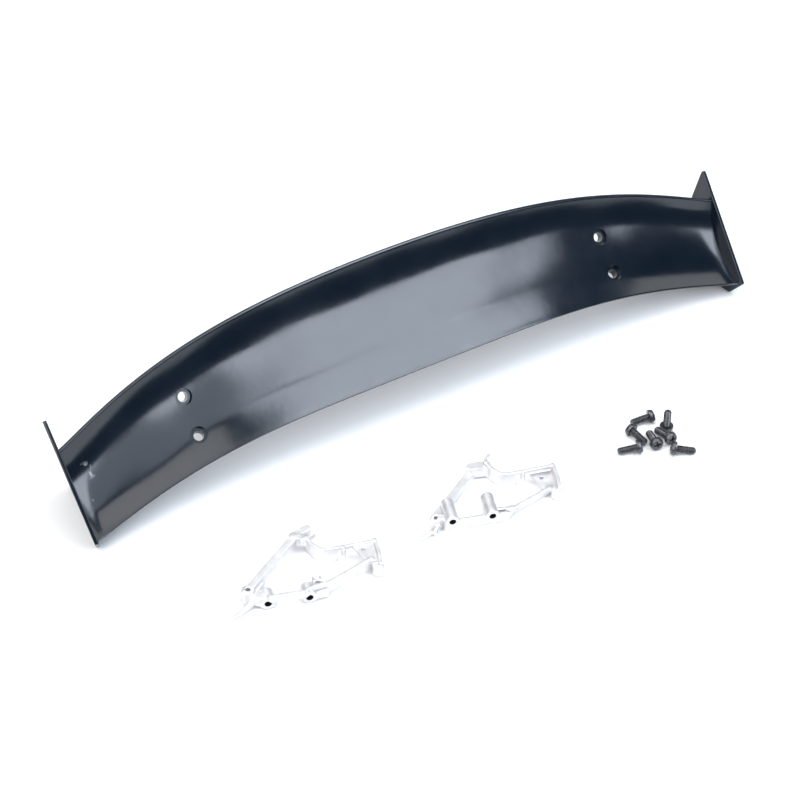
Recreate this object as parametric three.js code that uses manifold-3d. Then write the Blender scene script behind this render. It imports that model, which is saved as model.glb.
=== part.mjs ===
// Rear wing kit of a one-tenth-scale model car, laid out on a flat table before assembly.
// Millimetres, +Z up. The wing span runs along X and the table is Z = 0.
import * as THREE from 'three';
import { mergeVertices } from 'three/addons/utils/BufferGeometryUtils.js';
import Module from 'manifold-3d';

const wasm = await Module();
wasm.setup();

// Clearance kept between pieces that touch
const GAP = 0.3;

// Wing blade: each edge is a curve in even powers of s, where s runs from 0 at mid span to 1 at the end
const HALF_SPAN = 95;
const WING_Y = 13.84;
const TRAILING = { y: [0, 1.24, -4.88, -0.82], z: [13.47, -1.01, -18.72, 9.68] };
const LEADING = { y: [22.23, -3.97, -6.79, 0.55], z: [36.46, -10.06, -7.59, 2.49] };
const CAMBER = 0.12;
const LEADING_HALF = 1.0;
const TRAILING_HALF = 0.5;
const NOSE_LENGTH = 0.8;
const BLADE_STATIONS = 40;
const SECTION_STEPS = 12;

// Counterbored screw holes, two on each side, over round pads on the underside
const HOLE_X = 61.5;
const HOLE_FRACTIONS = [0.39, 0.74];
const HOLE_R = 1.3;
const COUNTERBORE_R = 2.15;
const COUNTERBORE_DEPTH = 1.0;
const PAD_R = 2.9;
const PAD_BOTTOM = 3.5;

// End plates: outline corners as distance forward along the end chord and distance above it
const PLATE_THICK = 1.0;
const PLATE_CANT = THREE.MathUtils.degToRad(13.8);
const PLATE_TOE = 0.043;
const PLATE_INNER_X = 94.8;
const PLATE_CORNERS = [
  { forward: -0.2, above: 2.4, radius: 0.4 },
  { forward: 32.7, above: 1.2, radius: 1.5 },
  { forward: 13.9, above: -20.6, radius: 1.5 },
  { forward: -1.3, above: -3.4, radius: 0.5 },
];

// Stays: both lie on their sides with the same outline and the same turn about Z
const STAY_TURN = THREE.MathUtils.degToRad(-18.85);
const STAY_LEFT_AT = [-68.43, -41.58];
const STAY_RIGHT_AT = [-17.34, -41.55];
const STAY_DEPTH = 4.4;
const BOSS_SPACING = 10;
const BOSS_BORE_R = 0.85;

// Screws: M2 x 5 pan heads
const SHAFT_R = 0.95;
const SHAFT_LENGTH = 5.0;
const HEAD_R = 1.75;
const HEAD_HEIGHT = 1.3;
const RECESS_WIDTH = 0.45;
const RECESS_LENGTH = 2.1;
const RECESS_DEPTH = 0.75;
const SCREW_TILT = THREE.MathUtils.degToRad(8.6);
const SCREW_MIDDLE = 2.175;

// Lying screws: middle of each screw and heading of its tip in degrees from +X
const LYING_SCREWS = [
  { name: 'screw_1', x: 43.82, y: -33.52, heading: 169 },
  { name: 'screw_2', x: 39.72, y: -38.32, heading: -81 },
  { name: 'screw_3', x: 34.92, y: -40.92, heading: 159 },
  { name: 'screw_4', x: 42.47, y: -40.67, heading: 77 },
  { name: 'screw_5', x: 45.72, y: -40.77, heading: 99 },
  { name: 'screw_7', x: 46.97, y: -48.27, heading: -32 },
];
const STANDING_SCREW = { name: 'screw_6', x: 48.32, y: -38.52 };

const ROUND_STEPS = 24;

// ---- Solids

function solidFrom(geometry, matrix) {
  const copy = geometry.clone();
  if (matrix) {
    copy.applyMatrix4(matrix);
  }
  copy.deleteAttribute('normal');
  copy.deleteAttribute('uv');
  const merged = mergeVertices(copy, 1e-5);
  const mesh = new wasm.Mesh({
    numProp: 3,
    vertProperties: new Float32Array(merged.attributes.position.array),
    triVerts: new Uint32Array(merged.index.array),
  });
  return new wasm.Manifold(mesh);
}

function geometryFrom(solid) {
  const mesh = solid.getMesh();
  const geometry = new THREE.BufferGeometry();
  geometry.setAttribute('position', new THREE.BufferAttribute(new Float32Array(mesh.vertProperties), 3));
  geometry.setIndex(new THREE.BufferAttribute(new Uint32Array(mesh.triVerts), 1));
  geometry.computeVertexNormals();
  return geometry;
}

function joined(solids) {
  return solids.reduce((sum, solid) => sum.add(solid));
}

// A cylinder from one point to another
function rod(from, to, radius, steps = ROUND_STEPS) {
  const start = new THREE.Vector3(...from);
  const along = new THREE.Vector3(...to).sub(start);
  const geometry = new THREE.CylinderGeometry(radius, radius, along.length(), steps);
  geometry.translate(0, along.length() / 2, 0);
  const turn = new THREE.Quaternion().setFromUnitVectors(new THREE.Vector3(0, 1, 0), along.normalize());
  return solidFrom(geometry, new THREE.Matrix4().compose(start, turn, new THREE.Vector3(1, 1, 1)));
}

// An outline of [x, y] points extruded from one height to another
function slab(points, low, high) {
  const shape = new THREE.Shape(points.map(([x, y]) => new THREE.Vector2(x, y)));
  const geometry = new THREE.ExtrudeGeometry(shape, { depth: high - low, bevelEnabled: false });
  geometry.translate(0, 0, low);
  return solidFrom(geometry);
}

// A strip with round ends that follows a run of [x, y] points
function strip(points, width, low, high) {
  const pieces = [];
  for (let i = 0; i + 1 < points.length; i += 1) {
    const [x0, y0] = points[i];
    const [x1, y1] = points[i + 1];
    const angle = Math.atan2(y1 - y0, x1 - x0);
    const shape = new THREE.Shape();
    shape.absarc(x1, y1, width / 2, angle - Math.PI / 2, angle + Math.PI / 2, false);
    shape.absarc(x0, y0, width / 2, angle + Math.PI / 2, angle + 1.5 * Math.PI, false);
    const outline = shape.getPoints(3).slice(0, -1);
    pieces.push(slab(outline.map((point) => [point.x, point.y]), low, high));
  }
  return joined(pieces);
}

// ---- Wing blade

function evenCurve(coefficients, s) {
  return coefficients.reduce((sum, value, power) => sum + value * s ** (2 * power), 0);
}

// Leading edge, trailing edge and the directions along and across the chord at one station
function chordAt(s) {
  const lead = new THREE.Vector3(0, evenCurve(LEADING.y, s), evenCurve(LEADING.z, s));
  const trail = new THREE.Vector3(0, evenCurve(TRAILING.y, s), evenCurve(TRAILING.z, s));
  const forward = lead.clone().sub(trail);
  const length = forward.length();
  forward.divideScalar(length);
  const up = new THREE.Vector3(0, -forward.z, forward.y);
  return { lead, trail, forward, up, length };
}

function camberAt(fraction) {
  return -4 * CAMBER * fraction * (1 - fraction);
}

// Half the blade's thickness: a short round nose, then a straight taper to the trailing edge
function halfThickness(fraction, length) {
  const nose = NOSE_LENGTH / length;
  if (fraction < nose) {
    return LEADING_HALF * Math.sqrt(1 - (1 - fraction / nose) ** 2);
  }
  return LEADING_HALF + ((TRAILING_HALF - LEADING_HALF) * (fraction - nose)) / (1 - nose);
}

function surfacePoint(chord, x, fraction, side) {
  const half = halfThickness(fraction, chord.length);
  const height = camberAt(fraction) * chord.length + TRAILING_HALF * fraction + side * half;
  return chord.lead.clone()
    .addScaledVector(chord.forward, -fraction * chord.length)
    .addScaledVector(chord.up, height)
    .setX(x);
}

function sectionPoints(x, s) {
  const chord = chordAt(s);
  const points = [];
  for (let i = 0; i <= SECTION_STEPS; i += 1) {
    const fraction = 1 - (1 - Math.cos((Math.PI * i) / SECTION_STEPS)) / 2;
    points.push(surfacePoint(chord, x, fraction, 1));
  }
  for (let i = 1; i <= SECTION_STEPS; i += 1) {
    const fraction = (1 - Math.cos((Math.PI * i) / SECTION_STEPS)) / 2;
    points.push(surfacePoint(chord, x, fraction, -1));
  }
  return points;
}

function bladeLoft() {
  const half = HALF_SPAN + 4;
  const positions = [];
  const indices = [];
  let ring = 0;
  for (let i = 0; i <= BLADE_STATIONS; i += 1) {
    const x = -half + (2 * half * i) / BLADE_STATIONS;
    const points = sectionPoints(x, Math.abs(x) / HALF_SPAN);
    ring = points.length;
    points.forEach((point) => positions.push(point.x, point.y, point.z));
  }
  for (let i = 0; i < BLADE_STATIONS; i += 1) {
    for (let j = 0; j < ring; j += 1) {
      const next = (j + 1) % ring;
      const a = i * ring + j;
      const b = i * ring + next;
      const c = (i + 1) * ring + next;
      const d = (i + 1) * ring + j;
      indices.push(a, c, b, a, d, c);
    }
  }
  const outline = sectionPoints(0, 1).map((point) => new THREE.Vector2(point.y, point.z));
  const caps = THREE.ShapeUtils.triangulateShape(outline, []);
  const last = BLADE_STATIONS * ring;
  const turnOf = (points) => Math.sign(THREE.ShapeUtils.area(points));
  caps.forEach(([a, b, c]) => {
    const sameTurn = turnOf([outline[a], outline[b], outline[c]]) === turnOf(outline);
    const [p, q, r] = sameTurn ? [a, b, c] : [a, c, b];
    indices.push(p, q, r);
    indices.push(last + p, last + r, last + q);
  });
  const geometry = new THREE.BufferGeometry();
  geometry.setAttribute('position', new THREE.Float32BufferAttribute(positions, 3));
  geometry.setIndex(indices);
  return geometry;
}

function outwardSolid(geometry) {
  const solid = solidFrom(geometry);
  if (solid.volume() > 0) {
    return solid;
  }
  const flipped = geometry.clone();
  const index = Array.from(flipped.index.array);
  for (let i = 0; i < index.length; i += 3) {
    [index[i + 1], index[i + 2]] = [index[i + 2], index[i + 1]];
  }
  flipped.setIndex(index);
  return solidFrom(flipped);
}

// The frame of one end plate: forward along the end chord, above across it, outward through it
function plateFrame(side) {
  const chord = chordAt(1);
  const forward = new THREE.Vector3(side * PLATE_TOE, chord.forward.y, chord.forward.z).normalize();
  const above = chord.up.clone().multiplyScalar(Math.cos(PLATE_CANT)).setX(side * Math.sin(PLATE_CANT));
  const outward = new THREE.Vector3().crossVectors(forward, above).normalize();
  above.crossVectors(outward, forward).normalize();
  const origin = chord.trail.clone().setX(side * PLATE_INNER_X);
  return new THREE.Matrix4().makeBasis(forward, above, outward).setPosition(origin);
}

function outwardSign(side) {
  const frame = plateFrame(side);
  const outward = new THREE.Vector3().setFromMatrixColumn(frame, 2);
  return Math.sign(outward.x) * side;
}

// The plate's outline, with every corner rounded
function plateShape() {
  const corners = PLATE_CORNERS.map(({ forward, above }) => new THREE.Vector2(forward, above));
  const shape = new THREE.Shape();
  corners.forEach((corner, i) => {
    const before = corners[(i + corners.length - 1) % corners.length];
    const after = corners[(i + 1) % corners.length];
    const radius = PLATE_CORNERS[i].radius;
    const enter = corner.clone().add(before.clone().sub(corner).setLength(radius));
    const leave = corner.clone().add(after.clone().sub(corner).setLength(radius));
    if (i === 0) {
      shape.moveTo(enter.x, enter.y);
    } else {
      shape.lineTo(enter.x, enter.y);
    }
    shape.quadraticCurveTo(corner.x, corner.y, leave.x, leave.y);
  });
  shape.closePath();
  return shape;
}

function endPlate(side) {
  const geometry = new THREE.ExtrudeGeometry(plateShape(), {
    depth: PLATE_THICK,
    bevelEnabled: false,
    curveSegments: 5,
  });
  if (outwardSign(side) < 0) {
    geometry.translate(0, 0, -PLATE_THICK);
  }
  return solidFrom(geometry, plateFrame(side));
}

// The direction square to the blade's top surface at one place
function topNormal(x, fraction) {
  const step = 0.01;
  const at = (offsetX, offsetFraction) => {
    const s = Math.abs(x + offsetX) / HALF_SPAN;
    return surfacePoint(chordAt(s), x + offsetX, fraction + offsetFraction, 1);
  };
  const alongSpan = at(step, 0).sub(at(-step, 0));
  const alongChord = at(0, -step).sub(at(0, step));
  return alongSpan.cross(alongChord).normalize();
}

function wingBlade() {
  let blade = outwardSolid(bladeLoft());
  for (const side of [-1, 1]) {
    for (const fraction of HOLE_FRACTIONS) {
      const top = surfacePoint(chordAt(HOLE_X / HALF_SPAN), side * HOLE_X, fraction, 1);
      const normal = topNormal(side * HOLE_X, fraction);
      const point = (height) => top.clone().addScaledVector(normal, height).toArray();
      blade = blade.add(rod(point(-PAD_BOTTOM), point(-1.0), PAD_R));
      blade = blade.subtract(rod(point(-PAD_BOTTOM - 2), point(3), HOLE_R));
      blade = blade.subtract(rod(point(-COUNTERBORE_DEPTH), point(3), COUNTERBORE_R));
    }
    const cutter = new THREE.BoxGeometry(80, 80, 20);
    cutter.translate(0, 0, outwardSign(side) * (10 - GAP));
    blade = blade.subtract(solidFrom(cutter, plateFrame(side)));
  }
  return blade;
}

// ---- Stays, drawn with their first boss at the origin and the second on +X

// A boss along Y with a blind bore that opens at its front end
function bossWithBore(x, height, radius, front, back, depth) {
  const body = rod([x, front, height], [x, back, height], radius);
  const bore = rod([x, front - 1, height], [x, front + depth, height], BOSS_BORE_R);
  return { body, bore };
}

// The curved wall, the rail behind it and the tooth under the rail, shared by both stays
function arcWall(low) {
  const points = [[12.3, 17.3], [13.2, 15.0], [14.8, 13.0], [16.7, 12.3], [18.6, 12.4]];
  return [
    strip(points, 0.9, low, STAY_DEPTH),
    strip([[18.6, 12.4], [28.2, 13.0]], 0.9, 3.3, STAY_DEPTH),
    strip([[20.3, 12.2], [20.5, 11.5]], 0.9, 1.8, STAY_DEPTH),
  ];
}

// The corner gusset with its small round hole, the end strut and its foot
function outerCorner(low, high, strutLow) {
  const gusset = slab([[22.4, 12.9], [28.4, 13.2], [28.4, 6.6], [25.4, 6.4]], low, high);
  const hole = rod([25.0, 10.9, low - 1], [25.0, 10.9, high + 1], 0.5, 16);
  return [
    gusset.subtract(hole),
    strip([[28.4, 13.3], [28.5, 9.0], [28.2, 5.6]], 1.0, strutLow, STAY_DEPTH),
    strip([[27.9, 5.4], [27.3, 5.9]], 2.2, 0.05, 3.4),
  ];
}

function stayLeft() {
  const first = bossWithBore(0, 2.0, 1.9, -0.4, 3.4, 3.0);
  const second = bossWithBore(BOSS_SPACING, 2.0, 1.9, -0.4, 3.4, 3.0);
  const knuckle = rod([-4.2, 3.1, 0.6], [-4.2, 3.1, 4.2], 1.7);
  const body = joined([
    ...arcWall(0.05),
    ...outerCorner(3.0, 4.0, 1.4),
    first.body,
    second.body,
    knuckle,
    strip([[-4.3, 3.0], [9.4, 18.0]], 2.0, 2.5, STAY_DEPTH),
    strip([[-3.6, 2.2], [-1.2, 1.0]], 2.2, 0.8, 3.8),
    strip([[-2.2, 3.6], [-0.4, 5.6]], 1.2, 1.4, 3.4),
    strip([[9.2, 18.2], [12.4, 17.2]], 1.7, 1.8, STAY_DEPTH),
    strip([[9.2, 18.6], [13.0, 20.4]], 2.0, 2.9, STAY_DEPTH),
    strip([[11.0, 16.6], [14.4, 18.3]], 0.8, 2.9, STAY_DEPTH),
    strip([[0.6, -0.1], [9.4, -0.1]], 1.1, 2.4, STAY_DEPTH),
    strip([[9.6, 0.6], [14.7, 1.6]], 1.0, 3.2, STAY_DEPTH),
    strip([[10.6, 0.5], [14.2, 0.7]], 1.3, 0.9, 3.0),
    strip([[11.6, 1.2], [11.5, 4.1]], 0.7, 3.3, STAY_DEPTH),
    strip([[13.3, 1.6], [13.2, 3.9]], 0.7, 3.3, STAY_DEPTH),
    strip([[11.5, 2.9], [13.2, 2.9]], 0.7, 3.3, STAY_DEPTH),
    strip([[14.6, 1.5], [26.4, 7.3]], 1.0, 1.3, STAY_DEPTH),
  ]);
  const tail = slab([[-4.0, 1.6], [-3.2, 0.6], [-9.3, -3.6], [-9.6, -3.1]], 0.9, 1.9);
  const knuckleHole = rod([-4.2, 3.1, -1], [-4.2, 3.1, 6], 0.6, 16);
  return joined([body, tail])
    .subtract(first.bore)
    .subtract(second.bore)
    .subtract(knuckleHole);
}

function stayRight() {
  const first = bossWithBore(0, 2.9, 1.7, -0.2, 6.8, 5.5);
  const second = bossWithBore(BOSS_SPACING, 2.9, 1.7, -0.2, 6.8, 5.5);
  const knuckle = rod([-3.8, 1.9, 0.3], [-3.8, 1.9, 3.2], 1.5);
  const body = joined([
    ...arcWall(0.05),
    ...outerCorner(1.4, 2.4, 1.6),
    first.body,
    second.body,
    knuckle,
    strip([[-3.6, 3.4], [9.0, 17.4]], 2.0, 0.3, 2.3),
    strip([[-3.6, 2.6], [-1.0, 1.0]], 2.0, 0.05, 3.4),
    strip([[8.6, 17.4], [12.3, 17.2]], 2.6, 0.6, 3.6),
    strip([[12.2, 17.2], [12.6, 18.6], [13.6, 19.8]], 0.9, 0.6, STAY_DEPTH),
    strip([[-1.6, 0.5], [13.8, 0.5]], 1.0, 0.05, 3.0),
    strip([[10.6, 2.6], [15.3, 2.4]], 1.0, 1.4, 2.6),
    strip([[13.6, 0.7], [15.4, 2.4]], 1.4, 0.3, 2.6),
    strip([[15.1, 1.9], [26.4, 7.3]], 1.0, 0.9, 2.6),
  ]);
  const tail = slab([[-3.8, 1.0], [-3.0, 0.3], [-8.4, -3.0], [-8.8, -2.4]], 0.6, 1.6);
  const pin = rod([-3.2, 0.9, 1.6], [-4.9, -1.5, 1.3], 0.8, 16);
  const knuckleHole = rod([-3.8, 1.9, -1], [-3.8, 1.9, 6], 0.5, 16);
  return joined([body, tail, pin])
    .subtract(first.bore)
    .subtract(second.bore)
    .subtract(knuckleHole);
}

// ---- Screws, drawn with the washer face at the origin and the shaft along +Z

function panScrew() {
  const profile = [
    [0, -HEAD_HEIGHT],
    [0.6 * HEAD_R, -HEAD_HEIGHT + 0.03],
    [0.82 * HEAD_R, -HEAD_HEIGHT + 0.17],
    [0.95 * HEAD_R, -HEAD_HEIGHT + 0.45],
    [HEAD_R, -0.4],
    [HEAD_R, 0],
    [SHAFT_R, 0],
    [SHAFT_R, SHAFT_LENGTH - 0.35],
    [SHAFT_R - 0.35, SHAFT_LENGTH],
    [0, SHAFT_LENGTH],
  ].map(([radius, height]) => new THREE.Vector2(radius, height));
  const turned = new THREE.LatheGeometry(profile, ROUND_STEPS);
  turned.rotateX(Math.PI / 2);
  let screw = outwardSolid(indexedOnly(turned));
  for (const angle of [0, Math.PI / 2]) {
    const slot = new THREE.BoxGeometry(RECESS_LENGTH, RECESS_WIDTH, 2 * RECESS_DEPTH);
    slot.rotateZ(angle + Math.PI / 4);
    slot.translate(0, 0, -HEAD_HEIGHT);
    screw = screw.subtract(solidFrom(slot));
  }
  return screw;
}

// Drops the collapsed triangles that a lathe makes where its profile meets the axis
function indexedOnly(geometry) {
  const plain = geometry.clone();
  plain.deleteAttribute('normal');
  plain.deleteAttribute('uv');
  const merged = mergeVertices(plain, 1e-5);
  const kept = [];
  const index = merged.index.array;
  for (let i = 0; i < index.length; i += 3) {
    const [a, b, c] = [index[i], index[i + 1], index[i + 2]];
    if (a !== b && b !== c && c !== a) {
      kept.push(a, b, c);
    }
  }
  merged.setIndex(kept);
  return merged;
}

// ---- The kit

const blackPlastic = { color: 0x14202c, roughness: 0.28, metalness: 0.0 };
const satinSilver = { color: 0xd2d5da, roughness: 0.38, metalness: 0.7 };
const blackSteel = { color: 0x2a2c30, roughness: 0.4, metalness: 0.8 };

const kit = new THREE.Group();

function addPiece(name, solid, finish, parent) {
  const mesh = new THREE.Mesh(geometryFrom(solid), new THREE.MeshStandardMaterial(finish));
  mesh.name = name;
  parent.add(mesh);
  return mesh;
}

const layout = new THREE.Group();
layout.position.y = WING_Y;
kit.add(layout);

addPiece('wing_blade', wingBlade(), blackPlastic, layout);
addPiece('end_plate_left', endPlate(-1), blackPlastic, layout);
addPiece('end_plate_right', endPlate(1), blackPlastic, layout);

for (const [name, solid, at] of [
  ['stay_left', stayLeft(), STAY_LEFT_AT],
  ['stay_right', stayRight(), STAY_RIGHT_AT],
]) {
  const stay = addPiece(name, solid, satinSilver, layout);
  stay.position.set(at[0], at[1], 0);
  stay.rotation.z = STAY_TURN;
}

const screwSolid = panScrew();
const restHeight = HEAD_R * Math.cos(SCREW_TILT) + 0.05;
for (const { name, x, y, heading } of LYING_SCREWS) {
  const turn = THREE.MathUtils.degToRad(heading);
  const reach = SCREW_MIDDLE * Math.cos(SCREW_TILT);
  const direction = new THREE.Vector3(
    Math.cos(turn) * Math.cos(SCREW_TILT),
    Math.sin(turn) * Math.cos(SCREW_TILT),
    -Math.sin(SCREW_TILT),
  );
  const screw = addPiece(name, screwSolid, blackSteel, layout);
  screw.position.set(x - reach * Math.cos(turn), y - reach * Math.sin(turn), restHeight);
  screw.quaternion.setFromUnitVectors(new THREE.Vector3(0, 0, 1), direction);
}

const standing = addPiece(STANDING_SCREW.name, screwSolid, blackSteel, layout);
standing.position.set(STANDING_SCREW.x, STANDING_SCREW.y, HEAD_HEIGHT + 0.05);

export default kit;
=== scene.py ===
# Looks of the model car's rear wing kit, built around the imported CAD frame.
# Sizes are written in millimetres, in the CAD frame, and become metres when a mesh is made.
import math

import bmesh
import bpy
import numpy as np
from mathutils import Matrix, Vector

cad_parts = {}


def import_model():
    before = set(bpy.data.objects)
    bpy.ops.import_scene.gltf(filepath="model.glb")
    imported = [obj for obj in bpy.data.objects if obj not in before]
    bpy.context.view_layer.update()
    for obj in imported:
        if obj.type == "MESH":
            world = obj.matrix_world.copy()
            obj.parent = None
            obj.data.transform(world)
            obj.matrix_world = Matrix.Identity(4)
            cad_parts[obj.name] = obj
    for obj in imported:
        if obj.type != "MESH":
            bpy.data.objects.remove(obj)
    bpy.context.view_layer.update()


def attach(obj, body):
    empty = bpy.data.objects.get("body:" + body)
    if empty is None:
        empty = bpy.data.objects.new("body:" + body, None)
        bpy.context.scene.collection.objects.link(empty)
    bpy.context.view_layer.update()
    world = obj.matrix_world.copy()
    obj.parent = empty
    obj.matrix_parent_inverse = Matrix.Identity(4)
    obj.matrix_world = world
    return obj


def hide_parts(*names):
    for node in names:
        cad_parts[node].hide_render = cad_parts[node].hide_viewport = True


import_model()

MM = 0.001

# ---------------------------------------------------------------- dimensions

# Camera: place, heading from +Y towards +X, depression below the horizon, roll and lens
CAMERA_AT = (-242.9, -386.5, 431.3)
CAMERA_HEADING = math.radians(30.43)
CAMERA_DOWN = math.radians(42.5)
CAMERA_ROLL = math.radians(-0.12)
CAMERA_LENS = 111.24

# Wing blade: edges in even powers of s, which runs from 0 at mid span to 1 at the blade's end
HALF_SPAN = 95.0
WING_Y = 13.84
TRAILING_Y = (0.0, 1.24, -4.88, -0.82)
TRAILING_Z = (13.47, -1.01, -18.72, 9.68)
LEADING_Y = (22.23, -3.97, -6.79, 0.55)
LEADING_Z = (36.46, -10.06, -7.59, 2.49)
CAMBER = 0.12
LEADING_HALF = 1.0
TRAILING_HALF = 0.5
NOSE_LENGTH = 0.8
EDGE_ROUND = 0.45
PLATE_OVERLAP = 0.15
SLIDE_POWER = 24
BLADE_STATIONS = 300
SECTION_STEPS = 56

HOLE_X = 61.5
HOLE_FRACTIONS = (0.39, 0.74)
HOLE_R = 1.3
COUNTERBORE_R = 2.15
COUNTERBORE_DEPTH = 1.0
PAD_R = 2.9
PAD_BOTTOM = 3.5

# The moulded top skin: sink marks over the pads, a ripple, a dish at each end, a rise at the end plates
HOLE_CHORD = 28.0
SINK_DEPTH = 0.13
SINK_REACH_X = 7.0
SINK_REACH_CHORD = 6.0
RIPPLE = 0.05
DISH_DEPTH = 0.55
DISH_FROM_X = 70.0
RISE = 0.25
RISE_REACH = 2.0

PLATE_THICK = 1.0
PLATE_CANT = math.radians(13.8)
PLATE_TOE = 0.043
PLATE_INNER_X = 94.8
PLATE_CORNERS = ((-0.2, 2.4, 0.4), (32.7, 1.2, 1.6), (13.9, -20.6, 1.5), (-1.3, -3.4, 0.5))

STAY_TURN = math.radians(-18.85)
STAY_LEFT_AT = (-68.43, -41.58 + WING_Y)
STAY_RIGHT_AT = (-17.34, -41.55 + WING_Y)
STAY_DEPTH = 4.4
BOSS_SPACING = 10.0
BOSS_BORE_R = 0.85
# Blind bores in each stay's bosses: height over the table, place of the mouth, and depth
LEFT_BORES = (2.0, -0.4, 3.0)
RIGHT_BORES = (2.9, -0.2, 5.5)

SHAFT_CORE_R = 0.74
SHAFT_R = 0.97
SHAFT_LENGTH = 5.0
THREAD_PITCH = 0.4
HEAD_R = 1.75
HEAD_HEIGHT = 1.3
SCREW_TILT = math.radians(8.6)
SCREW_MIDDLE = 2.175
LYING_SCREWS = (
    ("screw_1", 43.82, -33.52, 169),
    ("screw_2", 39.72, -38.32, -81),
    ("screw_3", 34.92, -40.92, 159),
    ("screw_4", 42.47, -40.67, 77),
    ("screw_5", 45.72, -40.77, 99),
    ("screw_7", 46.97, -48.27, -32),
)
STANDING_SCREW = ("screw_6", 48.32, -38.52)

# Rub marks on the blade's top: x, share of the chord from the leading edge, and radius
SCUFFS = ((-90.5, 0.38, 2.6), (-90.0, 0.66, 2.2))
SCUFF_COLOUR = (0.22, 0.23, 0.25, 1.0)

# Soft lights: name, place and target in metres, width, height, power and colour
COOL = (0.80, 0.88, 1.0)
WHITE = (1.0, 1.0, 1.0)
KIT_AIM = (0.02, 0.0, 0.08)
SOFTBOXES = (
    ("main_softbox", (0.45, -0.777, 0.811), KIT_AIM, 0.38, 0.91, 8.3, COOL),
    ("dim_strip", (0.10, -0.75, 0.86), KIT_AIM, 0.32, 0.85, 1.7, COOL),
    ("top_softbox", (0.46, -0.20, 1.15), (0.46, -0.20, 0.0), 0.48, 0.52, 6.0, COOL),
    ("overhead_softbox", (-0.15, 0.66, 1.3), (-0.15, 0.66, 0.0), 1.6, 1.3, 12, WHITE),
    ("left_overhead", (-0.3, -0.205, 1.3), (-0.3, -0.205, 0.0), 0.8, 0.43, 2.7, WHITE),
    ("right_softbox", (1.6, 0.45, 1.3), (1.6, 0.45, 0.0), 0.8, 1.3, 6, WHITE),
    ("left_fill", (-1.1, -0.3, 1.1), (0.0, 0.0, 0.0), 1.6, 1.6, 24, WHITE),
)
SKY_COLOUR = (0.6, 0.8, 1.0)
SKY_STRENGTH = 0.05


# ---------------------------------------------------------------- materials

# Places of the colour sockets on Blender's Mix node, whose names repeat
MIX_FACTOR = 0
MIX_FIRST_COLOUR = 6
MIX_SECOND_COLOUR = 7
MIX_COLOUR = 2


class Nodes:
    """A short way to build a material's node tree."""

    def __init__(self, name):
        self.material = bpy.data.materials.new(name)
        self.material.use_nodes = True
        self.tree = self.material.node_tree
        self.shader = self.tree.nodes["Principled BSDF"]

    def add(self, kind, **settings):
        node = self.tree.nodes.new(kind)
        for key, value in settings.items():
            if key in node.inputs:
                node.inputs[key].default_value = value
            else:
                setattr(node, key, value)
        return node

    def link(self, source, target):
        self.tree.links.new(source, target)

    def noise(self, scale, detail=3.0, roughness=0.5):
        node = self.add("ShaderNodeTexNoise", Scale=scale, Detail=detail, Roughness=roughness)
        self.link(self.place(), node.inputs["Vector"])
        return node.outputs["Fac"]

    def place(self):
        return self.add("ShaderNodeTexCoord").outputs["Object"]

    def ramp(self, source, stops):
        node = self.add("ShaderNodeValToRGB")
        elements = node.color_ramp.elements
        while len(elements) < len(stops):
            elements.new(0.5)
        for element, (position, colour) in zip(elements, stops):
            element.position = position
            element.color = (*colour, 1.0)
        self.link(source, node.inputs["Fac"])
        return node.outputs["Color"]

    def spread(self, source, low, high, out_low, out_high):
        node = self.add("ShaderNodeMapRange")
        for socket, value in zip(node.inputs[1:5], (low, high, out_low, out_high)):
            socket.default_value = value
        self.link(source, node.inputs["Value"])
        return node.outputs["Result"]

    def patch_around(self, point, radius, source, threshold):
        """A mask of 1 where the noise in source is over threshold, within radius metres of a point."""
        apart = self.add("ShaderNodeVectorMath", operation="DISTANCE")
        apart.inputs[1].default_value = point
        self.link(self.place(), apart.inputs[0])
        near = self.spread(apart.outputs["Value"], radius * 0.5, radius, 1.0, 0.0)
        lines = self.spread(source, threshold, threshold + 0.03, 0.0, 1.0)
        both = self.add("ShaderNodeMath", operation="MULTIPLY")
        self.link(near, both.inputs[0])
        self.link(lines, both.inputs[1])
        return both.outputs[0]

    def bump(self, source, strength, distance, under=None):
        node = self.add("ShaderNodeBump", Strength=strength, Distance=distance)
        self.link(source, node.inputs["Height"])
        if under is not None:
            self.link(under, node.inputs["Normal"])
        return node.outputs["Normal"]


def black_plastic():
    """Glossy black moulded plastic: a bluish black with a soft shine, fine orange peel and two rub marks."""
    nodes = Nodes("black_gloss_plastic_look")
    shader = nodes.shader
    shader.inputs["IOR"].default_value = 1.58
    cloud = nodes.noise(60.0, 4.0)
    colour = nodes.ramp(cloud, ((0.3, (0.0025, 0.006, 0.0115)), (0.7, (0.005, 0.0095, 0.016))))
    scuff_noise = nodes.noise(260.0, 2.0, 0.7)
    for x, f, radius in SCUFFS:
        mask = nodes.patch_around(blade_point(x, f, 1) * MM, radius * MM, scuff_noise, 0.58)
        mix = nodes.add("ShaderNodeMix", data_type="RGBA")
        nodes.link(mask, mix.inputs[MIX_FACTOR])
        nodes.link(colour, mix.inputs[MIX_FIRST_COLOUR])
        mix.inputs[MIX_SECOND_COLOUR].default_value = SCUFF_COLOUR
        colour = mix.outputs[MIX_COLOUR]
    nodes.link(colour, shader.inputs["Base Color"])
    patch = nodes.noise(110.0, 5.0, 0.6)
    nodes.link(nodes.spread(patch, 0.3, 0.7, 0.11, 0.17), shader.inputs["Roughness"])
    peel = nodes.bump(nodes.noise(700.0, 2.0), 0.03, 0.0002)
    grain = nodes.bump(nodes.noise(4200.0, 2.0), 0.06, 0.00005, peel)
    nodes.link(grain, shader.inputs["Normal"])
    return nodes.material


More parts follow.
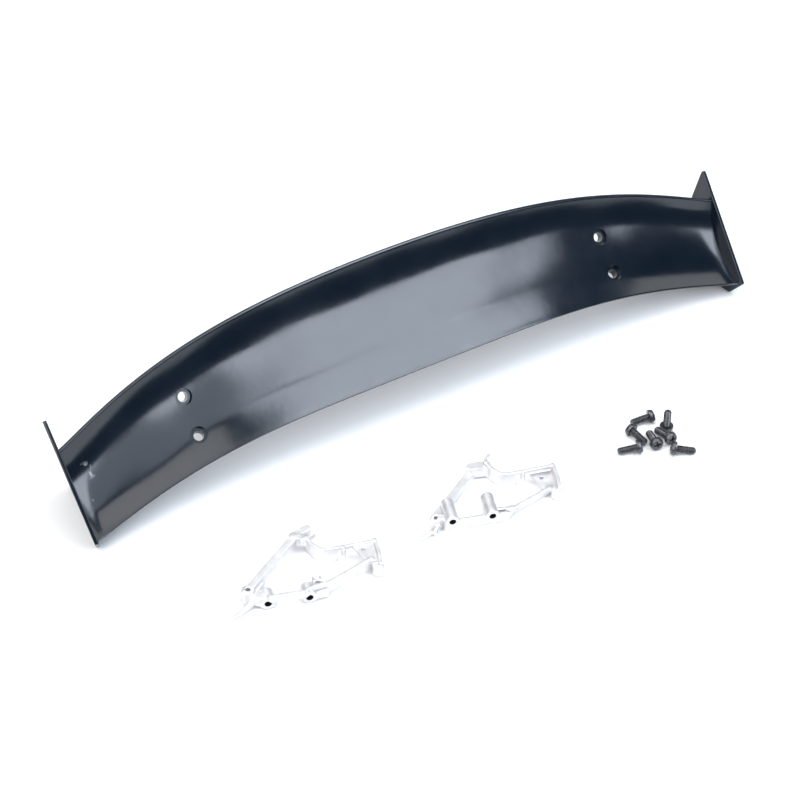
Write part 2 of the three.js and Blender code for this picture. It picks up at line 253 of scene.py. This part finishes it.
def satin_silver():
    """Satin silver casting: near-white metal with a fine matt grain and duller patches."""
    nodes = Nodes("satin_silver_look")
    shader = nodes.shader
    shader.inputs["Metallic"].default_value = 0.75
    cloud = nodes.noise(400.0, 4.0)
    colour = nodes.ramp(cloud, ((0.3, (0.64, 0.63, 0.635)), (0.7, (0.80, 0.79, 0.79))))
    nodes.link(colour, shader.inputs["Base Color"])
    patch = nodes.noise(900.0, 4.0, 0.6)
    nodes.link(nodes.spread(patch, 0.3, 0.7, 0.36, 0.52), shader.inputs["Roughness"])
    skin = nodes.bump(nodes.noise(2500.0, 3.0), 0.25, 0.0001)
    grain = nodes.bump(nodes.noise(9000.0, 2.0), 0.2, 0.00005, skin)
    nodes.link(grain, shader.inputs["Normal"])
    return nodes.material


def black_steel():
    """Black-oxide steel: dark grey metal, slightly oily, with a fine turned grain."""
    nodes = Nodes("black_steel_look")
    shader = nodes.shader
    shader.inputs["Metallic"].default_value = 0.85
    cloud = nodes.noise(900.0, 4.0)
    colour = nodes.ramp(cloud, ((0.3, (0.07, 0.072, 0.078)), (0.75, (0.14, 0.14, 0.145))))
    nodes.link(colour, shader.inputs["Base Color"])
    patch = nodes.noise(1500.0, 3.0)
    nodes.link(nodes.spread(patch, 0.3, 0.7, 0.22, 0.36), shader.inputs["Roughness"])
    nodes.link(nodes.bump(nodes.noise(6000.0, 2.0), 0.2, 0.00005), shader.inputs["Normal"])
    return nodes.material


def painted_bore_shade():
    """Painted shade for the inside of a blind bore: a near-black material on the bore walls that stands in
    for the shade deep in the hole.
    """
    nodes = Nodes("painted_bore_shade_look")
    cloud = nodes.noise(2000.0, 3.0)
    colour = nodes.ramp(cloud, ((0.3, (0.006, 0.006, 0.007)), (0.7, (0.014, 0.014, 0.015))))
    nodes.link(colour, nodes.shader.inputs["Base Color"])
    nodes.link(nodes.spread(cloud, 0.3, 0.7, 0.6, 0.8), nodes.shader.inputs["Roughness"])
    nodes.link(nodes.bump(nodes.noise(5000.0, 2.0), 0.2, 0.00005), nodes.shader.inputs["Normal"])
    return nodes.material


def floor_paper():
    nodes = Nodes("pale_floor_look")
    nodes.shader.inputs["Roughness"].default_value = 0.9
    colour = nodes.ramp(nodes.noise(3.0), ((0.3, (0.89, 0.89, 0.895)), (0.7, (0.91, 0.91, 0.912))))
    nodes.link(colour, nodes.shader.inputs["Base Color"])
    return nodes.material


# ---------------------------------------------------------------- meshes


def new_object(name, vertices, faces, material, sharp_angle=35.0):
    """An object from millimetre points, shaded smooth with edges sharper than sharp_angle kept crisp."""
    mesh = bpy.data.meshes.new(name)
    mesh.from_pydata((np.asarray(vertices) * MM).tolist(), [], [list(map(int, face)) for face in faces])
    mesh.update()
    item = bpy.data.objects.new(name, mesh)
    bpy.context.scene.collection.objects.link(item)
    mesh.materials.append(material)
    shade(mesh, sharp_angle)
    return item


def shade(mesh, sharp_angle):
    mesh.shade_smooth()
    if sharp_angle is not None:
        mesh.set_sharp_from_angle(angle=math.radians(sharp_angle))


def apply_modifiers(item):
    bpy.context.view_layer.update()
    evaluated = item.evaluated_get(bpy.context.evaluated_depsgraph_get())
    mesh = bpy.data.meshes.new_from_object(evaluated)
    old = item.data
    item.modifiers.clear()
    item.data = mesh
    bpy.data.meshes.remove(old)
    mesh.name = item.name


def cylinder_mesh(start, end, radius, steps=64):
    """Points and faces of a cylinder from start to end."""
    start, end = Vector(start), Vector(end)
    turn = (end - start).to_track_quat("Z", "Y").to_matrix()
    points = []
    for base in (start, end):
        for i in range(steps):
            angle = 2 * math.pi * i / steps
            points.append(base + turn @ Vector((radius * math.cos(angle), radius * math.sin(angle), 0)))
    faces = [(i, (i + 1) % steps, steps + (i + 1) % steps, steps + i) for i in range(steps)]
    faces.append(tuple(reversed(range(steps))))
    faces.append(tuple(range(steps, 2 * steps)))
    return points, faces


def boolean(item, cutter_parts, operation):
    """Joins or cuts item with one object made of closed parts, then removes that object."""
    points, faces = [], []
    for part_points, part_faces in cutter_parts:
        base = len(points)
        points.extend(part_points)
        faces.extend([tuple(base + i for i in face) for face in part_faces])
    mesh = bpy.data.meshes.new("cutter")
    mesh.from_pydata([tuple(Vector(p) * MM) for p in points], [], faces)
    cutter = bpy.data.objects.new("cutter", mesh)
    bpy.context.scene.collection.objects.link(cutter)
    modifier = item.modifiers.new("boolean", "BOOLEAN")
    modifier.operation = operation
    modifier.solver = "EXACT"
    modifier.object = cutter
    apply_modifiers(item)
    bpy.data.objects.remove(cutter)
    bpy.data.meshes.remove(mesh)


# ---------------------------------------------------------------- wing blade


def even_curve(coefficients, s):
    return sum(value * s ** (2 * power) for power, value in enumerate(coefficients))


def chord_at(s):
    """Leading and trailing edge, directions forward along the chord and up across it, and its length."""
    lead = np.array([even_curve(LEADING_Y, s), even_curve(LEADING_Z, s)])
    trail = np.array([even_curve(TRAILING_Y, s), even_curve(TRAILING_Z, s)])
    forward = lead - trail
    length = math.hypot(*forward)
    forward = forward / length
    up = np.array([-forward[1], forward[0]])
    return lead, trail, forward, up, length


def half_thickness(f, length):
    """A short round nose, then a straight taper to the trailing edge."""
    nose = NOSE_LENGTH / length
    if f < nose:
        return LEADING_HALF * math.sqrt(1 - (1 - f / nose) ** 2)
    return LEADING_HALF + (TRAILING_HALF - LEADING_HALF) * (f - nose) / (1 - nose)


def height_over_chord(f, length, side):
    return -4 * CAMBER * f * (1 - f) * length + TRAILING_HALF * f + side * half_thickness(f, length)


def blade_point(x, f, side, lift=0.0):
    lead, _, forward, up, length = chord_at(abs(x) / HALF_SPAN)
    y, z = lead - forward * f * length + up * (height_over_chord(f, length, side) + lift)
    return np.array([x, y + WING_Y, z])


def top_normal(x, f, step=0.01):
    """The direction square to the blade's plain top surface at one place."""
    along_span = blade_point(x + step, f, 1) - blade_point(x - step, f, 1)
    along_chord = blade_point(x, f - step, 1) - blade_point(x, f + step, 1)
    normal = np.cross(along_span, along_chord)
    return normal / np.linalg.norm(normal)


def moulded_lift(x, f):
    """How far the moulded top skin stands above the plain section, or below it where negative."""
    lift = 0.0
    for side in (-1, 1):
        for hole in HOLE_FRACTIONS:
            along_chord = (f - hole) * HOLE_CHORD / SINK_REACH_CHORD
            reach = math.hypot((x - side * HOLE_X) / SINK_REACH_X, along_chord)
            lift -= SINK_DEPTH * math.exp(-(reach**2))
    lift += RIPPLE * math.sin(x * 0.21 + 1.0) * math.sin(f * 5.0 + x * 0.05)
    dish = max(0.0, abs(x) - DISH_FROM_X) / (HALF_SPAN - DISH_FROM_X)
    lift -= DISH_DEPTH * 4 * f * (1 - f) * dish**2
    from_end = HALF_SPAN - abs(x)
    lift += RISE * math.exp(-((from_end / RISE_REACH) ** 2))
    _, _, _, _, length = chord_at(abs(x) / HALF_SPAN)
    return lift * min(1.0, f * 8.0) - edge_drop(f, length)


def edge_drop(f, length):
    """How far the top skin falls where it rounds over at the trailing edge."""
    reach = max(0.0, 1 - (1 - f) * length / EDGE_ROUND)
    return EDGE_ROUND * (1 - math.sqrt(1 - reach**2))


def plate_frame(side):
    """Origin and directions of an end plate: forward along the chord, above it, and outward."""
    _, trail, forward, up, _ = chord_at(1.0)
    along = Vector((side * PLATE_TOE, forward[0], forward[1])).normalized()
    above = Vector((side * math.sin(PLATE_CANT), up[0] * math.cos(PLATE_CANT), up[1] * math.cos(PLATE_CANT)))
    outward = along.cross(above).normalized()
    above = outward.cross(along).normalized()
    if outward.x * side < 0:
        outward = -outward
    origin = Vector((side * PLATE_INNER_X, trail[0] + WING_Y, trail[1]))
    return origin, along, above, outward


def wing_blade(material):
    """The lofted blade, run up to the inner faces of the end plates, with pads and counterbored holes."""
    fractions = [(1 - math.cos(math.pi * i / SECTION_STEPS)) / 2 for i in range(SECTION_STEPS + 1)]
    ring = [(f, 1) for f in reversed(fractions)] + [(f, -1) for f in fractions[1:]]
    planes = [plate_frame(side) for side in (-1, 1)]
    vertices = []
    for i in range(BLADE_STATIONS + 1):
        nominal = -HALF_SPAN + 2 * HALF_SPAN * i / BLADE_STATIONS
        for f, side in ring:
            lift = moulded_lift(nominal, f) if side > 0 else 0.0
            point = blade_point(nominal, f, side, lift)
            vertices.append(slide_to_plates(point, nominal, planes))
    count = len(ring)
    faces = []
    for i in range(BLADE_STATIONS):
        for j in range(count):
            k = (j + 1) % count
            faces.append((i * count + j, i * count + k, (i + 1) * count + k, (i + 1) * count + j))
    faces.append(tuple(reversed(range(count))))
    faces.append(tuple(BLADE_STATIONS * count + j for j in range(count)))
    blade = new_object("wing_blade_skin", vertices, faces, material, None)
    fix_winding(blade)
    pads, holes, counterbores = [], [], []
    for side in (-1, 1):
        for f in HOLE_FRACTIONS:
            x = side * HOLE_X
            top = blade_point(x, f, 1)
            axis = top_normal(x, f)
            pads.append(cylinder_mesh(top - axis * PAD_BOTTOM, top - axis * 0.9, PAD_R))
            holes.append(cylinder_mesh(top - axis * (PAD_BOTTOM + 2), top + axis * 3, HOLE_R))
            counterbores.append(cylinder_mesh(top - axis * COUNTERBORE_DEPTH, top + axis * 3, COUNTERBORE_R))
    boolean(blade, pads, "UNION")
    boolean(blade, holes, "DIFFERENCE")
    boolean(blade, counterbores, "DIFFERENCE")
    shade(blade.data, 32.0)
    return blade


def slide_to_plates(point, nominal, planes):
    """Moves a blade point along X, more and more towards the end, so the last station lies in the plate."""
    origin, _, _, outward = planes[1] if nominal > 0 else planes[0]
    y, z = point[1], point[2]
    at_plane = origin.x - (outward.y * (y - origin.y) + outward.z * (z - origin.z)) / outward.x
    end = math.copysign(HALF_SPAN, nominal)
    share = (abs(nominal) / HALF_SPAN) ** SLIDE_POWER
    embed = math.copysign(PLATE_OVERLAP, nominal)
    return np.array([nominal + share * (at_plane + embed - end), y, z])


def fix_winding(item):
    work = bmesh.new()
    work.from_mesh(item.data)
    bmesh.ops.recalc_face_normals(work, faces=work.faces)
    work.to_mesh(item.data)
    work.free()


# ---------------------------------------------------------------- end plates


def rounded_outline(corners, steps=6):
    """A closed outline with a quarter-turn-like curve at each corner."""
    points = [Vector((c[0], c[1])) for c in corners]
    outline = []
    for i, corner in enumerate(points):
        radius = corners[i][2]
        enter = corner + (points[i - 1] - corner).normalized() * radius
        leave = corner + (points[(i + 1) % len(points)] - corner).normalized() * radius
        for step in range(steps + 1):
            t = step / steps
            outline.append(enter * (1 - t) ** 2 + corner * 2 * t * (1 - t) + leave * t**2)
    return outline


def end_plate(side, material):
    origin, along, above, outward = plate_frame(side)
    outline = rounded_outline(PLATE_CORNERS)
    vertices = []
    for depth in (0.0, PLATE_THICK):
        for point in outline:
            vertices.append(origin + along * point.x + above * point.y + outward * depth)
    count = len(outline)
    faces = [(i, (i + 1) % count, count + (i + 1) % count, count + i) for i in range(count)]
    faces.append(tuple(reversed(range(count))))
    faces.append(tuple(range(count, 2 * count)))
    name = "end_plate_left_skin" if side < 0 else "end_plate_right_skin"
    plate = new_object(name, [tuple(v) for v in vertices], faces, material, None)
    fix_winding(plate)
    bevel = plate.modifiers.new("bevel", "BEVEL")
    bevel.width = 0.18 * MM
    bevel.segments = 3
    bevel.limit_method = "ANGLE"
    bevel.angle_limit = math.radians(50)
    apply_modifiers(plate)
    shade(plate.data, 35.0)
    return plate


# ---------------------------------------------------------------- cast and turned shapes as distance fields


class Field:
    """A block of space holding the distance to a growing shape, in millimetres."""

    def __init__(self, low, high, step):
        self.low = np.array(low, float)
        self.step = step
        counts = np.ceil((np.array(high) - self.low) / step).astype(int) + 1
        axes = [self.low[i] + step * np.arange(counts[i]) for i in range(3)]
        self.x, self.y, self.z = np.meshgrid(*axes, indexing="ij", sparse=True)
        self.value = np.full(counts, 99.0, np.float32)

    def join(self, distance, blend=0.25):
        """Adds a shape with a small fillet where it meets what is there."""
        near = np.clip(0.5 + 0.5 * (self.value - distance) / blend, 0, 1)
        self.value = self.value * (1 - near) + distance * near - blend * near * (1 - near)

    def cut(self, distance):
        self.value = np.maximum(self.value, -distance)

    def strip(self, points, width, low, high, soft=0.18):
        """A strip that follows [x, y] points from height low to high, with its edges rounded."""
        flat = np.full(np.broadcast(self.x, self.y).shape, 99.0)
        for (x0, y0), (x1, y1) in zip(points, points[1:]):
            dx, dy = x1 - x0, y1 - y0
            share = np.clip(((self.x - x0) * dx + (self.y - y0) * dy) / (dx * dx + dy * dy), 0, 1)
            flat = np.minimum(flat, np.hypot(self.x - x0 - share * dx, self.y - y0 - share * dy))
        return self.extrude(flat - width / 2, low, high, soft)

    def slab(self, points, low, high, soft=0.15):
        """A convex outline, given anticlockwise, from height low to high."""
        flat = np.full(np.broadcast(self.x, self.y).shape, -99.0)
        for (x0, y0), (x1, y1) in zip(points, points[1:] + points[:1]):
            dx, dy = x1 - x0, y1 - y0
            flat = np.maximum(flat, ((self.x - x0) * dy - (self.y - y0) * dx) / math.hypot(dx, dy))
        return self.extrude(flat, low, high, soft)

    def extrude(self, flat, low, high, soft):
        across = flat + soft
        tall = np.abs(self.z - (low + high) / 2) - (high - low) / 2 + soft
        inside = np.minimum(np.maximum(across, tall), 0)
        return inside + np.hypot(np.maximum(across, 0), np.maximum(tall, 0)) - soft

    def rod(self, start, end, radius, soft=0.15):
        """A cylinder from start to end, with its rims rounded."""
        start, end = np.array(start, float), np.array(end, float)
        length = np.linalg.norm(end - start)
        axis = (end - start) / length
        px, py, pz = self.x - start[0], self.y - start[1], self.z - start[2]
        along = px * axis[0] + py * axis[1] + pz * axis[2]
        squared = px**2 + py**2 + pz**2 - along**2
        across = np.sqrt(np.maximum(squared, 0)) - radius + soft
        tall = np.abs(along - length / 2) - length / 2 + soft
        inside = np.minimum(np.maximum(across, tall), 0)
        return inside + np.hypot(np.maximum(across, 0), np.maximum(tall, 0)) - soft

    def surface(self):
        """Vertices and quads of the shape's skin, by the surface-nets method."""
        v = self.value
        sign = v < 0
        corners = [(i, j, k) for i in (0, 1) for j in (0, 1) for k in (0, 1)]
        cells = tuple(n - 1 for n in v.shape)

        def shifted(array, offset):
            return array[tuple(slice(o, o + n) for o, n in zip(offset, cells))]

        total = sum(shifted(sign, c).astype(np.int8) for c in corners)
        active = (total > 0) & (total < 8)
        where = np.argwhere(active)
        index = np.full(cells, -1, np.int64)
        index[active] = np.arange(len(where))
        sums = np.zeros((len(where), 3))
        counts = np.zeros(len(where))
        at = tuple(where.T)
        for a in corners:
            for axis in range(3):
                if a[axis]:
                    continue
                b = tuple(1 if i == axis else a[i] for i in range(3))
                va, vb = shifted(v, a)[at], shifted(v, b)[at]
                crosses = (va < 0) != (vb < 0)
                share = np.where(crosses, va / np.where(crosses, va - vb, 1.0), 0.0)
                point = np.tile(np.array(a, float), (len(where), 1))
                point[:, axis] += share
                sums += point * crosses[:, None]
                counts += crosses
        vertices = self.low + self.step * (where + sums / counts[:, None])
        quads = []
        for axis in range(3):
            u, w = (axis + 1) % 3, (axis + 2) % 3
            first = [slice(None)] * 3
            second = [slice(None)] * 3
            first[axis], second[axis] = slice(0, -1), slice(1, None)
            change = sign[tuple(first)] != sign[tuple(second)]
            spots = np.argwhere(change)
            keep = (spots[:, u] > 0) & (spots[:, w] > 0)
            keep &= (spots[:, u] < cells[u]) & (spots[:, w] < cells[w])
            spots = spots[keep]
            ring = []
            for du, dw in ((-1, -1), (0, -1), (0, 0), (-1, 0)):
                cell = spots.copy()
                cell[:, u] += du
                cell[:, w] += dw
                ring.append(index[tuple(cell.T)])
            ring = np.stack(ring, 1)
            leaving = sign[tuple(spots.T)]
            ring[~leaving] = ring[~leaving][:, ::-1]
            quads.append(ring)
        return vertices, np.concatenate(quads)


def field_object(name, field, material):
    vertices, quads = field.surface()
    mesh = bpy.data.meshes.new(name)
    mesh.vertices.add(len(vertices))
    mesh.vertices.foreach_set("co", (vertices * MM).astype(np.float32).ravel())
    mesh.loops.add(quads.size)
    mesh.loops.foreach_set("vertex_index", quads.astype(np.int32).ravel())
    mesh.polygons.add(len(quads))
    mesh.polygons.foreach_set("loop_start", np.arange(0, quads.size, 4, dtype=np.int32))
    mesh.update(calc_edges=True)
    mesh.validate()
    mesh.shade_smooth()
    mesh.materials.append(material)
    item = bpy.data.objects.new(name, mesh)
    bpy.context.scene.collection.objects.link(item)
    return item


# ---------------------------------------------------------------- stays


def arc_wall(field, low):
    points = [[12.3, 17.3], [12.7, 16.0], [13.2, 15.0], [14.0, 13.9], [14.8, 13.0]]
    points += [[15.7, 12.5], [16.7, 12.3], [18.6, 12.4]]
    field.join(field.strip(points, 0.9, low, STAY_DEPTH))
    field.join(field.strip([[18.6, 12.4], [28.2, 13.0]], 0.9, 3.3, STAY_DEPTH))
    field.join(field.strip([[20.3, 12.2], [20.5, 11.5]], 0.9, 1.8, STAY_DEPTH))


def outer_corner(field, low, high, strut_low):
    gusset = [[22.4, 12.9], [25.4, 6.4], [28.4, 6.6], [28.4, 13.2]]
    field.join(field.slab(gusset, low, high))
    field.cut(field.rod([25.0, 10.9, low - 1], [25.0, 10.9, high + 1], 0.5))
    field.join(field.strip([[28.4, 13.3], [28.5, 9.0], [28.2, 5.6]], 1.0, strut_low, STAY_DEPTH))
    field.join(field.strip([[27.9, 5.4], [27.3, 5.9]], 2.2, 0.05, 3.4, 0.5))


def cut_bores(field, height, front, depth):
    for x in (0.0, BOSS_SPACING):
        field.cut(field.rod([x, front - 1, height], [x, front + depth, height], BOSS_BORE_R, 0.02))


def darken_bores(item, material, height, front, depth):
    """Gives the walls of the two blind bores the near-black painted shade."""
    item.data.materials.append(material)
    for polygon in item.data.polygons:
        centre = polygon.center / MM
        inside = front + 0.12 < centre.y < front + depth + 0.2
        for x in (0.0, BOSS_SPACING):
            if inside and math.hypot(centre.x - x, centre.z - height) < BOSS_BORE_R + 0.08:
                polygon.material_index = 1


def stay_left(material, bore_shade):
    field = Field((-11, -6, -0.6), (31, 24, 5.2), 0.13)
    arc_wall(field, 0.05)
    outer_corner(field, 3.0, 4.0, 1.4)
    for x in (0.0, BOSS_SPACING):
        field.join(field.rod([x, -0.4, 2.0], [x, 3.4, 2.0], 1.9, 0.25))
    field.join(field.rod([-4.2, 3.1, 0.6], [-4.2, 3.1, 4.2], 1.7, 0.35))
    strips = (
        ([[-4.3, 3.0], [9.4, 18.0]], 2.0, 2.5, STAY_DEPTH),
        ([[-3.6, 2.2], [-1.2, 1.0]], 2.2, 0.8, 3.8),
        ([[-2.2, 3.6], [-0.4, 5.6]], 1.2, 1.4, 3.4),
        ([[9.2, 18.2], [12.4, 17.2]], 1.7, 1.8, STAY_DEPTH),
        ([[9.2, 18.6], [13.0, 20.4]], 2.0, 2.9, STAY_DEPTH),
        ([[11.0, 16.6], [14.4, 18.3]], 0.8, 2.9, STAY_DEPTH),
        ([[0.6, -0.1], [9.4, -0.1]], 1.1, 2.4, STAY_DEPTH),
        ([[9.6, 0.6], [14.7, 1.6]], 1.0, 3.2, STAY_DEPTH),
        ([[10.6, 0.5], [14.2, 0.7]], 1.3, 0.9, 3.0),
        ([[11.6, 1.2], [11.5, 4.1]], 0.7, 3.3, STAY_DEPTH),
        ([[13.3, 1.6], [13.2, 3.9]], 0.7, 3.3, STAY_DEPTH),
        ([[11.5, 2.9], [13.2, 2.9]], 0.7, 3.3, STAY_DEPTH),
        ([[14.6, 1.5], [26.4, 7.3]], 1.0, 1.3, STAY_DEPTH),
    )
    for points, width, low, high in strips:
        field.join(field.strip(points, width, low, high))
    field.join(field.slab([[-4.0, 1.6], [-9.6, -3.1], [-9.3, -3.6], [-3.2, 0.6]], 0.9, 1.9))
    cut_bores(field, *LEFT_BORES)
    field.cut(field.rod([-4.2, 3.1, -1], [-4.2, 3.1, 6], 0.6, 0.02))
    stay = field_object("stay_left_casting", field, material)
    # the bore walls get the near-black painted shade
    darken_bores(stay, bore_shade, *LEFT_BORES)
    return stay


def stay_right(material, bore_shade):
    field = Field((-11, -6, -0.6), (31, 24, 5.4), 0.13)
    arc_wall(field, 0.05)
    outer_corner(field, 1.4, 2.4, 1.6)
    for x in (0.0, BOSS_SPACING):
        field.join(field.rod([x, -0.2, 2.9], [x, 6.8, 2.9], 1.7, 0.2))
    field.join(field.rod([-3.8, 1.9, 0.3], [-3.8, 1.9, 3.2], 1.5, 0.35))
    strips = (
        ([[-3.6, 3.4], [9.0, 17.4]], 2.0, 0.3, 2.3),
        ([[-3.6, 2.6], [-1.0, 1.0]], 2.0, 0.05, 3.4),
        ([[8.6, 17.4], [12.3, 17.2]], 2.6, 0.6, 3.6),
        ([[12.2, 17.2], [12.6, 18.6], [13.6, 19.8]], 0.9, 0.6, STAY_DEPTH),
        ([[-1.6, 0.5], [13.8, 0.5]], 1.0, 0.05, 3.0),
        ([[10.6, 2.6], [15.3, 2.4]], 1.0, 1.4, 2.6),
        ([[13.6, 0.7], [15.4, 2.4]], 1.4, 0.3, 2.6),
        ([[15.1, 1.9], [26.4, 7.3]], 1.0, 0.9, 2.6),
    )
    for points, width, low, high in strips:
        field.join(field.strip(points, width, low, high))
    field.join(field.slab([[-3.8, 1.0], [-8.8, -2.4], [-8.4, -3.0], [-3.0, 0.3]], 0.6, 1.6))
    field.join(field.rod([-3.2, 0.9, 1.6], [-4.9, -1.5, 1.3], 0.8, 0.2))
    cut_bores(field, *RIGHT_BORES)
    field.cut(field.rod([-3.8, 1.9, -1], [-3.8, 1.9, 6], 0.5, 0.02))
    stay = field_object("stay_right_casting", field, material)
    # the bore walls get the near-black painted shade
    darken_bores(stay, bore_shade, *RIGHT_BORES)
    return stay


def lay_on_table(item, at, turn):
    item.matrix_world = Matrix.Translation(Vector((at[0], at[1], 0)) * MM) @ Matrix.Rotation(turn, 4, "Z")
    bake_place(item)


def bake_place(item):
    item.data.transform(item.matrix_world)
    item.matrix_world = Matrix.Identity(4)


# ---------------------------------------------------------------- screws


def screw_field():
    """A pan-head screw with its washer face at z = 0, a helical thread and a cross recess."""
    field = Field((-2.1, -2.1, -1.7), (2.1, 2.1, 5.4), 0.055)
    radius = np.hypot(field.x, field.y)
    angle = np.arctan2(field.y, field.x)
    dome = 1.6
    crown = np.hypot(radius / HEAD_R, np.maximum(-field.z - 0.35, 0) / dome) - 1
    head = np.maximum(crown * dome, np.maximum(field.z, -field.z - HEAD_HEIGHT))
    head = np.maximum(head, radius - HEAD_R)
    turn = (field.z / THREAD_PITCH - angle / (2 * math.pi)) % 1.0
    tooth = 1 - np.abs(2 * turn - 1)
    fade = np.clip((SHAFT_LENGTH - field.z) / 0.5, 0, 1) * np.clip(field.z / 0.3, 0, 1)
    outside = SHAFT_CORE_R + (SHAFT_R - SHAFT_CORE_R) * np.clip(tooth * 1.25, 0, 1) * fade
    point = np.clip((field.z - SHAFT_LENGTH + 0.35) / 0.35, 0, 1) * 0.22
    shaft = np.maximum((radius - outside + point) * 0.8, field.z - SHAFT_LENGTH)
    shaft = np.maximum(shaft, -field.z - 0.3)
    field.value = np.minimum(head, shaft).astype(np.float32)
    depth = field.z + HEAD_HEIGHT
    taper = 1.05 - 0.55 * depth
    diagonal = math.sqrt(0.5)
    for along, across in (
        ((field.x + field.y) * diagonal, (field.x - field.y) * diagonal),
        ((field.x - field.y) * diagonal, (field.x + field.y) * diagonal),
    ):
        slot = np.maximum(np.abs(along) - taper, np.abs(across) - (0.27 - 0.12 * depth))
        field.cut(np.maximum(slot, depth - 0.8))
    return field


def screws(material):
    source = field_object("screw_source", screw_field(), material)
    placed = []
    height = HEAD_R * math.cos(SCREW_TILT) + 0.05
    for name, x, y, heading in LYING_SCREWS:
        turn = math.radians(heading)
        reach = SCREW_MIDDLE * math.cos(SCREW_TILT)
        at = Vector((x - reach * math.cos(turn), y + WING_Y - reach * math.sin(turn), height))
        flat = math.cos(SCREW_TILT)
        axis = Vector((math.cos(turn) * flat, math.sin(turn) * flat, -math.sin(SCREW_TILT)))
        spin = Matrix.Rotation(math.radians(37 * len(placed)), 4, "Z")
        rotation = Vector((0, 0, 1)).rotation_difference(axis).to_matrix().to_4x4() @ spin
        placed.append((name, Matrix.Translation(at * MM) @ rotation))
    name, x, y = STANDING_SCREW
    placed.append((name, Matrix.Translation(Vector((x, y + WING_Y, HEAD_HEIGHT + 0.05)) * MM)))
    items = []
    for name, matrix in placed:
        item = bpy.data.objects.new(name + "_turned", source.data.copy())
        bpy.context.scene.collection.objects.link(item)
        item.data.transform(matrix)
        items.append((name, item))
    bpy.data.objects.remove(source)
    return items


# ---------------------------------------------------------------- pieces on their bodies


def stand_for(item, node, body):
    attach(item, body)
    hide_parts(node)


plastic = black_plastic()
silver = satin_silver()
steel = black_steel()
# near-black painted shade for the walls of the stays' blind bores
bore_shade = painted_bore_shade()

stand_for(wing_blade(plastic), "wing_blade", "wing")
stand_for(end_plate(-1, plastic), "end_plate_left", "wing")
stand_for(end_plate(1, plastic), "end_plate_right", "wing")

left = stay_left(silver, bore_shade)
lay_on_table(left, STAY_LEFT_AT, STAY_TURN)
stand_for(left, "stay_left", "stay_left")
right = stay_right(silver, bore_shade)
lay_on_table(right, STAY_RIGHT_AT, STAY_TURN)
stand_for(right, "stay_right", "stay_right")

for screw_name, screw in screws(steel):
    stand_for(screw, screw_name, screw_name)


# ---------------------------------------------------------------- floor, light and camera


def floor():
    size = 4000
    corners = [(-size, -size, 0), (size, -size, 0), (size, size, 0), (-size, size, 0)]
    item = new_object("floor", corners, [(0, 1, 2, 3)], floor_paper(), None)


def area_light(name, at, target, width, height, power, colour):
    """A soft rectangular light whose width runs as nearly along X as it can while it faces its target."""
    data = bpy.data.lights.new(name, "AREA")
    data.shape = "RECTANGLE"
    data.size = width
    data.size_y = height
    data.energy = power
    data.color = colour
    light = bpy.data.objects.new(name, data)
    bpy.context.scene.collection.objects.link(light)
    back = (Vector(at) - Vector(target)).normalized()
    across = (Vector((1, 0, 0)) - back * back.x).normalized()
    turn = Matrix((across, back.cross(across), back)).transposed().to_4x4()
    light.matrix_world = Matrix.Translation(Vector(at)) @ turn


def world(colour, strength):
    background = bpy.data.worlds.new("studio")
    background.use_nodes = True
    shader = background.node_tree.nodes["Background"]
    shader.inputs["Color"].default_value = (*colour, 1)
    shader.inputs["Strength"].default_value = strength
    bpy.context.scene.world = background


def camera():
    heading = Vector((math.sin(CAMERA_HEADING), math.cos(CAMERA_HEADING), 0))
    right = Vector((math.cos(CAMERA_HEADING), -math.sin(CAMERA_HEADING), 0))
    forward = heading * math.cos(CAMERA_DOWN) - Vector((0, 0, 1)) * math.sin(CAMERA_DOWN)
    up = right.cross(forward)
    turn = Matrix((right, up, -forward)).transposed().to_4x4()
    roll = Matrix.Rotation(CAMERA_ROLL, 4, "Z")
    data = bpy.data.cameras.new("camera")
    data.lens = CAMERA_LENS
    data.sensor_width = 36.0
    data.clip_start = 0.01
    data.clip_end = 20.0
    item = bpy.data.objects.new("camera", data)
    bpy.context.scene.collection.objects.link(item)
    item.matrix_world = Matrix.Translation(Vector(CAMERA_AT) * MM) @ turn @ roll
    bpy.context.scene.camera = item


floor()
for softbox in SOFTBOXES:
    area_light(*softbox)
world(SKY_COLOUR, SKY_STRENGTH)
camera()
bpy.context.scene.view_settings.view_transform = "Standard"
